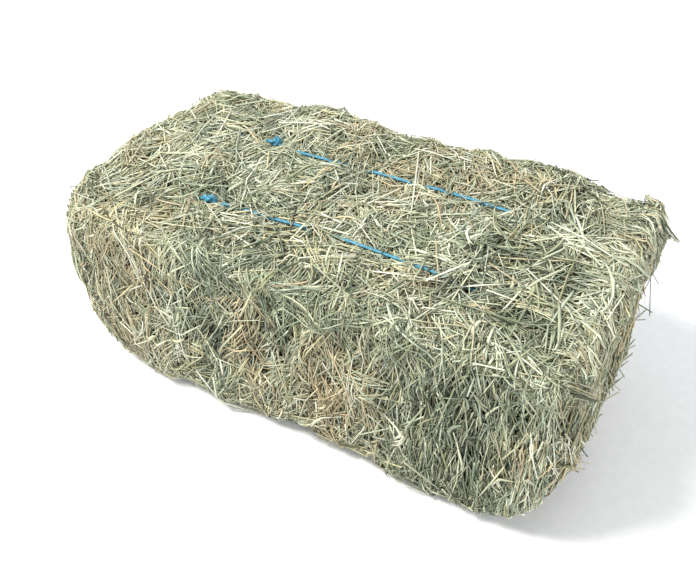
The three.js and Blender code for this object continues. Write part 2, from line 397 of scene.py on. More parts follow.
def make_waves():
    """Random slow waves that make the hay's surface uneven."""
    rng = np.random.default_rng([SEED, 999])
    heading = rng.normal(0, 1, (WAVES, 3))
    heading /= np.linalg.norm(heading, axis=1, keepdims=True)
    length = rng.uniform(*WAVE_LENGTHS, WAVES) * MM
    return heading * (2 * np.pi / length)[:, None], rng.uniform(0, 2 * np.pi, WAVES)


WAVE_NUMBERS, WAVE_PHASES = make_waves()


def string_y(name, x):
    """Where a string runs across the top at x."""
    path = np.array(STRING_PATHS[name]) * MM
    return np.interp(x, path[:, 0], path[:, 1])


def bareness(name, x):
    """1 where the hay leaves a string in view on the top, 0 where it is buried."""
    bare = np.zeros_like(x)
    for start, end, _ in BARE_STRETCHES[name]:
        rise = np.minimum(x - start * MM, end * MM - x) / BARE_RAMP + 0.5
        bare = np.maximum(bare, np.clip(rise, 0, 1))
    return bare


def relief(p):
    """How far the uneven surface stands out of the smooth one. Hollows and valleys are negative."""
    x, y, z = p[..., 0], p[..., 1], p[..., 2]
    out = WAVE_HEIGHT * np.cos(p @ WAVE_NUMBERS.T + WAVE_PHASES).sum(-1)
    for middle, radius, height in LUMPS:
        apart = np.linalg.norm(p - np.array(middle) * MM, axis=-1) / (radius * MM)
        out = out + height * MM * np.exp(-(apart**2))
    seam = np.abs(x[..., None] - SEAMS).min(-1)
    side_share = np.clip((np.abs(y) - WIDTH / 2 + 40 * MM) / (30 * MM), 0.25, 1)
    out = out - CREASE_DEPTH * side_share * np.exp(-((seam / CREASE_HALF_WIDTH) ** 2))
    out = np.clip(out, *RELIEF_RANGE)
    on_top = np.clip((z - HEIGHT + TOP_ZONE) / (TOP_ZONE / 2), 0, 1)
    for name in STRINGS:
        apart = (y - string_y(name, x)) / VALLEY_HALF_WIDTH
        near = np.exp(-(apart**2)) * on_top
        depth = COVERED_DEPTH + (BARE_DEPTH - COVERED_DEPTH) * bareness(name, x)
        out = out * (1 - near) - depth * near
    return out


def settle(p, depth, rounds=3):
    """Points moved to the given depth under the uneven surface, and the normals there."""
    raised = relief(p)
    for _ in range(rounds):
        p = p - surface_normal(p) * (surface_distance(p) + depth - raised)[..., None]
    return p, surface_normal(p)


# ---- Where strands lie and which way they run ----

FACES = {
    "top": {"axes": (0, 1), "side": (2, HEIGHT), "across": (0, 1, 0)},
    "bottom": {"axes": (0, 1), "side": (2, 0.0), "across": (0, 1, 0)},
    "front": {"axes": (0, 2), "side": (1, -WIDTH / 2), "across": (0, 0, 1)},
    "back": {"axes": (0, 2), "side": (1, WIDTH / 2), "across": (0, 0, 1)},
    "start": {"axes": (1, 2), "side": (0, -LENGTH / 2), "across": (0, 0, 1)},
    "end": {"axes": (1, 2), "side": (0, LENGTH / 2), "across": (0, 0, 1)},
}


def face_area(face, span):
    """Area of one face of the bale within a box."""
    low, high = span
    one, two = FACES[face]["axes"]
    return (high[one] - low[one]) * (high[two] - low[two])


def scatter(rng, face, span, count):
    """Random points on one face of the bale within a box, moved in to the hay's outer surface."""
    low, high = span
    one, two = FACES[face]["axes"]
    axis, level = FACES[face]["side"]
    p = np.empty((count, 3))
    p[:, one] = rng.uniform(low[one], high[one], count)
    p[:, two] = rng.uniform(low[two], high[two], count)
    p[:, axis] = level
    return settle(p, 0.0)[0]


def lean(rng, face, p):
    """Which way a tuft runs, in degrees from the face's level axis."""
    count = len(p)
    any_way = rng.uniform(0, 180, count)
    x, z = p[:, 0], p[:, 2]
    if face in ("top", "bottom"):
        leaning = rng.normal(*TOP_LEAN, count) * rng.choice([1, -1], count)
        fan = rng.normal(*TOP_END_LEAN, count)
        near_end = np.clip((x - 0.30) / 0.12, 0, 0.75)
        angle = np.where(rng.random(count) < 0.5, any_way, leaning)
        return np.where(rng.random(count) < near_end, fan, angle)
    if face in ("front", "back"):
        hanging = x > HANGING_FROM
        upright = np.where(hanging, rng.normal(*HANGING_LEAN, count), rng.normal(*SIDE_LEAN, count))
        loose = np.clip((z - 0.27) / 0.08, 0, 1) * 0.35 + np.where(hanging, 0.04, 0.2)
        return np.where(rng.random(count) < loose, any_way, upright)
    upright = rng.normal(*END_LEAN, count)
    loose = 0.12 if face == "end" else 0.4
    return np.where(rng.random(count) < loose, any_way, upright)


def pick_mix(rng, face, p, side_mix):
    """Name of the mix that each tuft at p draws its tones from."""
    names = np.full(len(p), "common", dtype=object)
    drift = np.cos(p @ WAVE_NUMBERS.T * 0.8 + 2 * WAVE_PHASES).sum(1) / (WAVES / 2) ** 0.5
    names[drift + rng.normal(0, 0.3, len(p)) > GREEN_ABOVE] = "green"
    names[drift + rng.normal(0, 0.3, len(p)) < BROWN_BELOW] = "brown"
    names[drift + rng.normal(0, 0.3, len(p)) > DARK_ABOVE] = "dark"
    names[np.abs(drift + rng.normal(0, 0.1, len(p))) < BRIGHT_WITHIN] = "bright"
    share = SIDE_MIX_SHARE.get(face, OTHER_SIDE_MIX_SHARE)
    names[rng.random(len(p)) < share] = END_MIX if face == "end" else side_mix
    for middle, radius, mix in PATCHES:
        apart = np.linalg.norm(p - np.array(middle) * MM, axis=1) / (radius * MM)
        names[rng.random(len(p)) < 1.1 * np.exp(-(apart**2) * 1.2)] = mix
    return names


def pick_tones(rng, mixes):
    """A tone from each mix, as a whole number along the palette."""
    tones = np.empty(len(mixes))
    for name in sorted(set(mixes)):
        chosen = np.flatnonzero(mixes == name)
        weights = np.array([MIXES[name].get(tone, 0) for tone in TONE_NAMES], float)
        tones[chosen] = rng.choice(len(TONE_NAMES), len(chosen), p=weights / weights.sum())
    return tones


def pick_rows(rng, mixes, tuft_of, dark):
    """A palette row for each strand. Most strands of a tuft share its tone."""
    shared = rng.random(len(tuft_of)) < TUFT_TONE_SHARE
    tones = np.where(shared, pick_tones(rng, mixes)[tuft_of], pick_tones(rng, mixes[tuft_of]))
    # By the layer's share, some strands take one of the darkest tones instead: painted shade for hay that lies
    # deep.
    painted_shade = rng.random(len(tones)) < dark
    tones[painted_shade] = rng.choice(len(PAINTED_SHADE_TONE_ODDS), int(painted_shade.sum()), p=PAINTED_SHADE_TONE_ODDS)
    per_tone = ROWS / len(TONE_NAMES)
    return np.clip(np.floor((tones + rng.random(len(tones))) * per_tone), 0, ROWS - 1)


def lay_strands(rng, face, span, layer, side_mix):
    """One layer of strands on one face."""
    count = int(layer["density"] * face_area(face, span) * HIDDEN_SHARE.get(face, 1.0))
    kind = KINDS[layer["kind"]]
    tufts = max(1, int(np.ceil(count / layer["tuft"])))
    tuft_at = scatter(rng, face, span, tufts)
    tuft_angle = lean(rng, face, tuft_at)
    tuft_mix = pick_mix(rng, face, tuft_at, side_mix)
    tuft_depth = rng.uniform(*layer["depth"], tufts) * MM
    tuft_bend = rng.normal(0, kind["bend"], tufts)
    tuft_long = rng.uniform(0.7, 1.4, tufts)
    lone = layer["tuft"] == 1
    spray = rng.random(tufts) < (0 if lone else SPRAY_SHARE)
    tuft_of = rng.integers(0, tufts, count)
    in_spray = spray[tuft_of]

    # Strands of a tuft lie side by side, and those of a spray fan out of one root.
    length = rng.uniform(*kind["length"], count) * tuft_long[tuft_of] * MM
    fan = np.where(in_spray, FANS["spray"], FANS["lone" if lone else "tuft"])
    fan = fan * (1.0 if face in ("top", "bottom") else UPRIGHT_FAN_SHARE)
    angle = np.radians(tuft_angle[tuft_of] + rng.normal(0, 1, count) * fan)
    level = np.eye(3)[FACES[face]["axes"][0]]
    across = np.array(FACES[face]["across"])
    along = np.cos(angle)[:, None] * level + np.sin(angle)[:, None] * across
    along *= np.where(spray & (rng.random(tufts) < 0.5), -1, 1)[tuft_of][:, None]
    spread = layer["wide"] * MM * np.where(in_spray, 0.4, 1.0)
    middle = tuft_at[tuft_of] + rng.normal(0, 1, (count, 3)) * spread[:, None]
    middle += along * (length * np.where(in_spray, 0.5, rng.normal(0, 0.15, count)))[:, None]
    depth = tuft_depth[tuft_of] + rng.normal(0, 1.5 * MM, count)
    middle, normal = settle(middle, depth)
    along -= (along * normal).sum(1, keepdims=True) * normal
    along /= np.maximum(np.linalg.norm(along, axis=1, keepdims=True), 1e-9)
    aside = np.cross(normal, along)

    bend = tuft_bend[tuft_of] + rng.normal(0, 0.5 * kind["bend"], count)
    tilt = rng.normal(0, layer["tilt"], count) + np.where(in_spray, 0.5 * layer["tilt"], 0)
    arch = rng.normal(0, 0.04, count)
    t = ring_places(kind)
    s = (t - 0.5)[None, :, None]
    run = length[:, None, None]
    spine = middle[:, None] + along[:, None] * (s * run)
    spine = spine + aside[:, None] * (4 * bend[:, None, None] * (s**2 - 1 / 12) * run)
    rise = tilt[:, None, None] * s + arch[:, None, None] * (0.25 - s**2) * 4
    spine = spine + normal[:, None] * (rise * run)

    # The free ends may stand a little over the surface, and bend back to it beyond that.
    over = layer["over"] * MM * rng.random(count)[:, None]
    excess = np.maximum(surface_distance(spine) - relief(spine) - over, 0)
    spine = spine - surface_normal(spine) * excess[..., None]
    return dress(rng, kind, spine, normal, pick_rows(rng, tuft_mix, tuft_of, layer["dark"]))


def lay_fringe(rng, face, span, side_mix):
    """Strands that lie across the top edge of a side and droop over it."""
    kind = KINDS["fringe"]
    level_axis = FACES[face]["axes"][0]
    axis, level = FACES[face]["side"]
    low, high = span[0][level_axis], span[1][level_axis]
    count = int(FRINGE_PER_METRE * (high - low) * HIDDEN_SHARE.get(face, 1.0))
    tufts = max(1, count // 6)
    tuft_of = rng.integers(0, tufts, count)
    tuft_at = rng.uniform(low, high, tufts)
    tuft_drop = rng.normal(-12, 20, tufts) * MM
    tuft_angle = rng.normal(*FRINGE_LEAN, tufts)
    length = rng.uniform(*kind["length"], count)[:, None] * MM
    angle = np.radians(tuft_angle[tuft_of] + rng.normal(0, 13, count))[:, None]
    bend = rng.normal(0, kind["bend"], count)[:, None] * length
    t = ring_places(kind)
    s = (t - 0.5)[None, :]
    forward, sideways = s * length, 4 * bend * (s**2 - 1 / 12)

    # How far along the edge each point lies, and how far over it: on the top where that is negative.
    along = tuft_at[tuft_of][:, None] + rng.normal(0, 9 * MM, (count, 1))
    along = along + np.cos(angle) * forward - np.sin(angle) * sideways
    drop = tuft_drop[tuft_of][:, None] + rng.normal(0, 9 * MM, (count, 1))
    drop = drop + np.sin(angle) * forward + np.cos(angle) * sideways
    spine = np.empty((count, len(t), 3))
    spine[..., level_axis] = along
    spine[..., axis] = level - np.sign(level) * np.maximum(drop, 0)
    spine[..., 2] = HEIGHT + np.minimum(drop, 0)
    stand = rng.uniform(-2, 4, (count, 1)) * MM + np.abs(s) ** 2 * rng.uniform(0, 30, (count, 1)) * MM
    spine, normal = settle(spine, -stand)

    # A tuft's mix is picked at the middle of the strand that has its number.
    middle = len(t) // 2
    mixes = pick_mix(rng, face, spine[:tufts, middle], side_mix)
    return dress(rng, kind, spine, normal[:, middle], pick_rows(rng, mixes, tuft_of, 0.0))


def ring_places(kind):
    """Where along a strand its cross-sections lie, with its two tips. A blunt tip has a ring right by it."""
    if kind["blunt"]:
        return np.concatenate([[0, 0.01], np.linspace(0, 1, kind["rings"])[1:-1], [0.99, 1]])
    return np.linspace(0, 1, kind["rings"] + 2)


def dress(rng, kind, spine, normal, row):
    """All that a strand's mesh needs, besides its spine."""
    count = len(spine)
    width = rng.uniform(*kind["width"], count) * MM
    spine[..., 2] = np.maximum(spine[..., 2], 0.6 * width[:, None] + 0.3 * MM)
    flat = rng.uniform(*kind["flat"], count)
    roll = rng.normal(0, 0.5, count) if kind["flat"][1] < 0.5 else rng.uniform(0, 2 * np.pi, count)
    column = rng.integers(0, STEM_COLUMNS, count) + (0 if kind["blunt"] else STEM_COLUMNS)
    return {
        "t": ring_places(kind), "spine": spine, "width": width, "flat": flat, "roll": roll,
        "column": column, "row": row, "blunt": kind["blunt"], "up": normal,
    }


def crossing_places(strands, name):
    """Which strands cross a string on the top, and the point where each one does."""
    spine = strands["spine"]
    offset = spine[..., 1] - string_y(name, spine[..., 0])
    reach = TWINE_RADIUS + strands["width"] * 0.5
    crossing = (offset.min(1) < reach) & (offset.max(1) > -reach)
    crossing &= spine[..., 2].max(1) > HEIGHT - TOP_ZONE
    side = np.sign(offset)
    turns = side[:, :-1] * side[:, 1:] < 0
    nearest = np.clip(np.abs(offset).argmin(1), 0, spine.shape[1] - 2)
    before = np.where(turns.any(1), turns.argmax(1), nearest)
    rows = np.arange(len(spine))
    a, b = spine[rows, before], spine[rows, before + 1]
    step = offset[rows, before + 1] - offset[rows, before]
    share = np.clip(-offset[rows, before] / np.where(np.abs(step) < 1e-6, 1e-6, step), 0, 1)
    return crossing, a + (b - a) * share[:, None]


def clear_knot(strands, name):
    """Pushes strands that cross a string's knot under it."""
    spine = strands["spine"]
    knot_at = np.array([KNOT_X, string_y(name, KNOT_X)])
    for first in range(spine.shape[1] - 1):
        a, step = spine[:, first, :2], spine[:, first + 1, :2] - spine[:, first, :2]
        share = ((knot_at - a) * step).sum(1) / np.maximum((step**2).sum(1), 1e-12)
        share = np.clip(share, 0, 1)[:, None]
        z = (spine[:, first, 2:] * (1 - share) + spine[:, first + 1, 2:] * share)[:, 0]
        close = np.linalg.norm((a + step * share - knot_at) / KNOT_CLEARING, axis=1) < 1
        close &= z > HEIGHT - TOP_ZONE
        spine[..., 2] -= (np.maximum(z + strands["width"] * 0.5 - KNOT_FLOOR, 0) * close)[:, None]


def clear_strings(rng, strands):
    """Pushes strands that cross a bare stretch of a string under it, or lays some of them over it."""
    spine = strands["spine"]
    half = strands["width"] * 0.5
    top = TWINE_TOP_Z + TWINE_RADIUS + half
    bottom = TWINE_TOP_Z - TWINE_RADIUS - half
    for name in STRINGS:
        crossing, place = crossing_places(strands, name)
        for start, end, often in BARE_STRETCHES[name]:
            inside = crossing & (place[:, 0] > start * MM) & (place[:, 0] < end * MM)
            near_top = place[:, 2] > TWINE_TOP_Z - BARE_DEPTH
            over = inside & (rng.random(len(spine)) < often) & near_top
            under = inside & ~over
            spine[over, :, 2] += np.maximum(top - place[:, 2], 0)[over, None]
            spine[under, :, 2] -= np.maximum(place[:, 2] - bottom, 0)[under, None]
    for name in STRINGS:
        clear_knot(strands, name)
    np.clip(spine, REACH_LOW, REACH_HIGH, out=spine)


# ---- Turning strands into meshes ----


def strand_mesh(strands):
    """Corner points, polygons and palette coordinates of closed three-sided strands."""
    spine, t = strands["spine"], strands["t"]
    count, places = spine.shape[:2]
    rings = places - 2
    tangent = np.gradient(spine, axis=1)
    tangent /= np.maximum(np.linalg.norm(tangent, axis=2, keepdims=True), 1e-12)
    up = np.repeat(strands["up"][:, None], places, 1)
    side = np.cross(tangent, up)
    side /= np.maximum(np.linalg.norm(side, axis=2, keepdims=True), 1e-12)
    up = np.cross(side, tangent)
    cos, sin = np.cos(strands["roll"])[:, None, None], np.sin(strands["roll"])[:, None, None]
    side, up = side * cos + up * sin, up * cos - side * sin
    taper = np.ones(places) if strands["blunt"] else 0.35 + 0.65 * np.sin(np.pi * t) ** 0.7
    half = 0.5 * strands["width"][:, None, None] * taper[None, :, None]
    thick = half * strands["flat"][:, None, None]
    left = spine - side * half - up * thick * 0.5
    right = spine + side * half - up * thick * 0.5
    edges = np.stack([left, spine + up * thick, right], 2)

    points = np.concatenate([spine[:, :1], edges[:, 1:-1].reshape(count, rings * 3, 3), spine[:, -1:]], 1)
    per = rings * 3 + 2
    quads, quad_uv, tris, tri_uv = [], [], [], []
    for ring in range(rings - 1):
        for k in range(3):
            here, there = 1 + 3 * ring, 4 + 3 * ring
            after = (k + 1) % 3
            quads.append((here + k, there + k, there + after, here + after))
            low, high = k / 3, (k + 1) / 3
            u0, u1 = t[ring + 1], t[ring + 2]
            quad_uv.append(((u0, low), (u1, low), (u1, high), (u0, high)))
    for k in range(3):
        after = (k + 1) % 3
        low, high = k / 3, (k + 1) / 3
        last = 1 + 3 * (rings - 1)
        tris.append((0, 1 + k, 1 + after))
        tri_uv.append(((t[0], (low + high) / 2), (t[1], low), (t[1], high)))
        tris.append((per - 1, last + after, last + k))
        tri_uv.append(((t[-1], (low + high) / 2), (t[-2], high), (t[-2], low)))
    offset = (np.arange(count) * per)[:, None, None]
    quads = (np.array(quads, int).reshape(1, -1, 4) + offset).reshape(-1, 4)
    tris = (np.array(tris)[None] + offset).reshape(-1, 3)
    column, row = strands["column"][:, None], strands["row"][:, None]

    def placed(uv):
        uv = np.array(uv, float).reshape(1, -1, 2)
        u = (column + 0.04 + 0.92 * uv[..., 0]) / COLUMNS
        v = (row + 0.1 + 0.8 * uv[..., 1]) / ROWS
        return np.stack([u, v], -1).reshape(-1, 2)

    return points.reshape(-1, 3), quads, placed(quad_uv), tris, placed(tri_uv)


def join(parts):
    """One set of points, polygons and coordinates from several."""
    points, quads, quad_uv, tris, tri_uv = zip(*parts)
    starts = np.cumsum([0] + [len(p) for p in points])
    quads = [q + start for q, start in zip(quads, starts)]
    tris = [t + start for t, start in zip(tris, starts)]
    return tuple(np.concatenate(x) for x in (points, quads, quad_uv, tris, tri_uv))


def make_object(name, parts, material):
    """A scene object from mesh parts, with its palette coordinates."""
    points, quads, quad_uv, tris, tri_uv = join(parts)
    mesh = bpy.data.meshes.new(name)
    mesh.vertices.add(len(points))
    mesh.vertices.foreach_set("co", points.astype(np.float32).ravel())
    corners = np.concatenate([quads.ravel(), tris.ravel()]).astype(np.int32)
    mesh.loops.add(len(corners))
    mesh.loops.foreach_set("vertex_index", corners)
    sizes = np.concatenate([np.full(len(quads), 4), np.full(len(tris), 3)]).astype(np.int32)
    starts = np.concatenate([[0], np.cumsum(sizes)[:-1]]).astype(np.int32)
    mesh.polygons.add(len(sizes))
    mesh.polygons.foreach_set("loop_start", starts)
    mesh.polygons.foreach_set("loop_total", sizes)
    mesh.polygons.foreach_set("use_smooth", np.ones(len(sizes), bool))
    layer = mesh.uv_layers.new(name="OFBake")
    layer.uv.foreach_set("vector", np.concatenate([quad_uv, tri_uv]).astype(np.float32).ravel())
    mesh.update(calc_edges=True)
    mesh.validate()
    mesh.materials.append(material)
    piece = bpy.data.objects.new(name, mesh)
    bpy.context.scene.collection.objects.link(piece)
    return piece


def loft(rings, place_uv, closed=False):
    """Mesh through rings of points, with a fan at each end unless the row of rings closes on itself."""
    rings = np.asarray(rings)
    count, around = rings.shape[:2]
    points = rings.reshape(-1, 3)
    quads, quad_uv = [], []
    for i in range(count if closed else count - 1):
        for k in range(around):
            j, m = (i + 1) % count, (k + 1) % around
            quads.append((i * around + k, j * around + k, j * around + m, i * around + m))
            quad_uv += [place_uv(i, k), place_uv(i + 1, k), place_uv(i + 1, k + 1), place_uv(i, k + 1)]
    tris, tri_uv = [], []
    if not closed:
        for ring, order in ((0, 1), (count - 1, -1)):
            middle = len(points)
            points = np.concatenate([points, rings[ring].mean(0, keepdims=True)])
            for k in range(around):
                m = (k + 1) % around
                pair = (ring * around + k, ring * around + m)
                tris.append((middle, *pair[::order]))
                spots = (place_uv(ring, k), place_uv(ring, k + 1))
                tri_uv += [place_uv(ring, k), *spots[::order]]
    tris = np.array(tris, int).reshape(-1, 3)
    return points, np.array(quads), np.array(quad_uv), tris, np.array(tri_uv).reshape(-1, 2)


def painted_shade_core(rng, low_x, high_x, inset=20 * MM, around=44, stations=7):
    """Heart of a flake, well under the strands, in the darkest palette tone: painted shade that stands in for
    the shadow deep in the hay.
    """
    low_x = max(low_x, -LENGTH / 2 + inset)
    high_x = min(high_x, LENGTH / 2 - inset)
    rings = []
    for x in np.linspace(low_x, high_x, stations):
        turn = np.linspace(0, 2 * np.pi, around, endpoint=False)
        direction = np.stack([np.zeros(around), np.cos(turn), np.sin(turn)], 1)
        p = np.array([x, 0, HEIGHT / 2]) + direction * 0.5 * np.array([0, WIDTH, HEIGHT])
        for _ in range(12):
            depth = surface_distance(p) + inset - np.minimum(relief(p), 0)
            p -= direction * depth[:, None] * 0.8
        p += direction * rng.normal(0, 1.2 * MM, (around, 1))
        rings.append(p)

    # The whole heart takes the first palette cell, the shade tone, as painted shade.
    def place(i, k):
        u = abs(2 * (k / around) - 1)
        return (0.04 + 0.9 * u) / COLUMNS, (0.15 + 0.7 * i / stations) / ROWS

    return loft(rings, place)


def build_flake(index, name, material):
    """All the hay of one flake, as one piece."""
    rng = np.random.default_rng([SEED, index])
    low, high = (np.array(corner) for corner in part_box(name))
    span = (np.array([low[0], -WIDTH / 2, 0]), np.array([high[0], WIDTH / 2, HEIGHT]))
    faces = ["top", "bottom", "front", "back"]
    faces += ["start"] * (index == 0) + ["end"] * (index == len(FLAKES) - 1)
    parts = [painted_shade_core(rng, low[0], high[0])]

    def add(strands):
        clear_strings(rng, strands)
        parts.append(strand_mesh(strands))

    for layer in LAYERS:
        for face in faces:
            add(lay_strands(rng, face, span, layer, SIDE_MIXES[index]))
    if high[0] > RIBBONS_FROM:
        add(lay_strands(rng, "top", span, RIBBONS, "bright"))
    for face in faces[2:]:
        add(lay_fringe(rng, face, span, SIDE_MIXES[index]))
    return make_object(name + "_hay", parts, material)


# ---- The strings ----


def string_route(y, step):
    """Points along a closed string, its outward direction at each and how far along each lies."""
    end, start, foot = (TWINE_RADII[turn] for turn in ("end_top", "start_top", "bottom"))
    x, top, bottom = TWINE_END_X, TWINE_TOP_Z, TWINE_BOTTOM_Z
    corners = [
        ((x - end, top - end), end, 90, 0),
        ((x - foot, bottom + foot), foot, 0, -90),
        ((-x + foot, bottom + foot), foot, -90, -180),
        ((-x + start, top - start), start, -180, -270),
    ]
    outline, outward = [], []
    for (cx, cz), radius, first, last in corners:
        for angle in np.radians(np.linspace(first, last, 25)):
            outward.append((np.cos(angle), np.sin(angle)))
            outline.append((cx + radius * np.cos(angle), cz + radius * np.sin(angle)))
    outline = np.array(outline + outline[:1])
    outward = np.array(outward + outward[:1])
    along = np.concatenate([[0], np.cumsum(np.linalg.norm(np.diff(outline, axis=0), axis=1))])
    s = np.linspace(0, along[-1], int(along[-1] / step), endpoint=False)
    px, pz = np.interp(s, along, outline[:, 0]), np.interp(s, along, outline[:, 1])
    ox, oz = np.interp(s, along, outward[:, 0]), np.interp(s, along, outward[:, 1])
    size = np.hypot(ox, oz)
    points = np.stack([px, np.full(len(s), y), pz], 1)
    normals = np.stack([ox / size, np.zeros(len(s)), oz / size], 1)
    return points, normals, s, along[-1]


def fold(value):
    """Runs up and down between 0 and 1, so a long string stays on its map with no seam."""
    return abs((value % 2) - 1)


def twisted_tube(points, normals, s, radius=TWINE_RADIUS, around=12, pitch=TWINE_PITCH):
    """A closed twisted tube of a few yarns along points."""
    step = np.roll(points, -1, 0) - np.roll(points, 1, 0)
    tangent = step / np.linalg.norm(step, axis=1, keepdims=True)
    side = np.cross(tangent, normals)
    side /= np.linalg.norm(side, axis=1, keepdims=True)
    up = np.cross(side, tangent)
    turn = 2 * np.pi * np.arange(around) / around
    rings = []
    for i in range(len(points)):
        twist = 2 * np.pi * s[i] / pitch
        reach = (radius * (0.84 + 0.2 * np.cos(TWINE_YARNS * (turn - twist))))[:, None]
        across = np.cos(turn)[:, None] * reach * side[i] * TWINE_FLATNESS
        rings.append(points[i] + across + np.sin(turn)[:, None] * reach * up[i])

    def place(i, k):
        along = s[i] if i < len(s) else 2 * s[-1] - s[-2]
        u = fold(along / (180 * MM))
        v = fold(2 * (k / around - along / pitch))
        return 0.02 + 0.96 * u, 0.02 + 0.96 * v

    return loft(rings, place, True)


def knot(y, turned):
    """An overhand knot pulled tight on the string, turned by some degrees from the string's way."""
    t = np.linspace(0, 2 * np.pi, 60, endpoint=False)
    x = KNOT_SIZE[0] * (np.sin(t) + 2 * np.sin(2 * t)) / 3
    across = KNOT_SIZE[1] * (np.cos(t) - 2 * np.cos(2 * t)) / 3
    height = KNOT_RISE - KNOT_SIZE[2] * np.sin(3 * t)
    cos, sin = np.cos(np.radians(turned)), np.sin(np.radians(turned))
    px, py = KNOT_X + x * cos - across * sin, y + x * sin + across * cos
    points = np.stack([px, py, TWINE_TOP_Z + height], 1)
    normals = np.tile(np.array([0.0, 0.0, 1.0]), (len(t), 1))
    steps = np.linalg.norm(np.roll(points, -1, 0) - points, axis=1)
    s = np.cumsum(steps) - steps[0]
    return twisted_tube(points, normals, s, radius=KNOT_YARN_RADIUS, around=8)


def fibrils(rng, route, count, spread, length):
    """Thin loose filaments that have sprung from the twine."""
    points, normals, _, _ = route
    at = rng.integers(0, len(points) - 2, count)
    tangent = points[at + 1] - points[at]
    tangent /= np.linalg.norm(tangent, axis=1, keepdims=True)
    run = rng.uniform(0.5, 1, count)[:, None] * length
    t = np.linspace(0, 1, 4)
    side = rng.normal(0, spread, (count, 3)) + np.abs(rng.normal(0, spread, (count, 1))) * normals[at]
    along, away = t[None, :, None], (t**2)[None, :, None]
    spine = points[at][:, None] + along * (tangent * run)[:, None] + away * side[:, None]
    spine = np.clip(spine, REACH_LOW + 0.7 * MM, REACH_HIGH)
    return {
        "t": t, "spine": spine, "width": np.full(count, 0.7 * MM), "flat": np.full(count, 0.5),
        "roll": rng.uniform(0, 6, count), "column": rng.integers(0, COLUMNS, count),
        "row": rng.integers(0, ROWS, count).astype(float), "blunt": False, "up": normals[at],
    }


def ripple(rng, turns, height, s, total):
    """A gentle random waviness along a closed string."""
    return sum(
        rng.normal(0, height) * np.sin(2 * np.pi * n * s / total + rng.uniform(0, 6)) for n in turns
    )


def build_string(index, name, y, material):
    """One string with its knot and loose filaments, as one piece."""
    rng = np.random.default_rng([SEED, 100 + index])
    route = string_route(y, 4 * MM)
    points, normals, s, total = route
    on_top = points[:, 2] > HEIGHT / 2
    points[:, 1] = np.where(on_top, string_y(name, points[:, 0]), y)
    sunk = np.where(on_top, BURIED_DEPTH * (1 - bareness(name, points[:, 0])), 0)
    points -= normals * sunk[:, None]
    waves = ripple(rng, (5, 9, 14, 23), 0.4, s, total)
    lift = ripple(rng, (8, 13, 21), 0.25, s, total)
    points[:, 1] += waves * MM
    points += normals * (np.minimum(lift, 0.6) * MM)[:, None]
    pitch = total / round(total / TWINE_PITCH)
    parts = [twisted_tube(points, normals, s, pitch=pitch), knot(string_y(name, KNOT_X), KNOT_TURNS[name])]
    parts.append(strand_mesh(fibrils(rng, route, 160, 2.5 * MM, 26 * MM)))

    # The two cut tails of the knot have split into filaments.
    from_knot = np.abs(points[:, 0] - KNOT_X) + 10 * (points[:, 2] < HEIGHT / 2)
    nearest = np.argsort(from_knot)[:3]
    by_knot = (points[nearest], normals[nearest], s[nearest], total)
    parts.append(strand_mesh(fibrils(rng, by_knot, 40, 7 * MM, 20 * MM)))
    return make_object(name + "_string", parts, material)


# ---- Materials ----


class Nodes:
    """Short ways to add and link shader nodes of one material."""

    def __init__(self, name):
        self.material = bpy.data.materials.new(name)
        self.material.use_nodes = True
        self.tree = self.material.node_tree
        self.shader = self.tree.nodes["Principled BSDF"]

    def add(self, kind, **settings):
        node = self.tree.nodes.new(kind)
        for key, value in settings.items():
            setattr(node, key, value)
        return node

    def put(self, socket, value):
        if isinstance(value, bpy.types.NodeSocket):
            self.tree.links.new(value, socket)
        else:
            socket.default_value = value

    def math(self, operation, a, b=0.0, c=0.0):
        node = self.add("ShaderNodeMath", operation=operation)
        for socket, value in zip(node.inputs, (a, b, c)):
            self.put(socket, value)
        return node.outputs[0]

    def times(self, a, b):
        return self.math("MULTIPLY", a, b)

    def mix(self, share, a, b, blend="MIX"):
        node = self.add("ShaderNodeMix", data_type="RGBA", blend_type=blend)
        for socket, value in zip((node.inputs[0], node.inputs[6], node.inputs[7]), (share, a, b)):
            self.put(socket, value)
        return node.outputs[2]

    def ramp(self, share, stops):
        node = self.add("ShaderNodeValToRGB")
        elements = node.color_ramp.elements
        while len(elements) < len(stops):
            elements.new(0.5)
        for element, (place, colour) in zip(elements, stops):
            element.position = place
            element.color = (*colour, 1)
        self.put(node.inputs[0], share)
        return node.outputs[0]

    def vector(self, x, y, z):
        node = self.add("ShaderNodeCombineXYZ")
        for socket, value in zip(node.inputs, (x, y, z)):
            self.put(socket, value)
        return node.outputs[0]

    def noise(self, x, y, z, detail=2.0):
        node = self.add("ShaderNodeTexNoise")
        self.put(node.inputs["Vector"], self.vector(x, y, z))
        for name, value in (("Scale", 1.0), ("Detail", detail), ("Roughness", 0.55)):
            node.inputs[name].default_value = value
        return node.outputs["Fac"]

    def chance(self, x, y, z):
        """A random value that is the same all over one palette cell."""
        node = self.add("ShaderNodeTexWhiteNoise", noise_dimensions="3D")
        self.put(node.inputs["Vector"], self.vector(x, y, z))
        return node.outputs["Value"]

    def map(self, value, low, high, to_low, to_high):
        node = self.add("ShaderNodeMapRange")
        for socket, v in zip(node.inputs, (value, low, high, to_low, to_high)):
            self.put(socket, v)
        return node.outputs[0]

    def coordinates(self):
        node = self.add("ShaderNodeUVMap", uv_map="OFBake")
        split = self.add("ShaderNodeSeparateXYZ")
        self.put(split.inputs[0], node.outputs[0])
        return split.outputs[0], split.outputs[1]

    def bump(self, height, strength, distance):
        node = self.add("ShaderNodeBump")
        node.inputs["Strength"].default_value = strength
        node.inputs["Distance"].default_value = distance
        self.put(node.inputs["Height"], height)
        self.put(self.shader.inputs["Normal"], node.outputs[0])


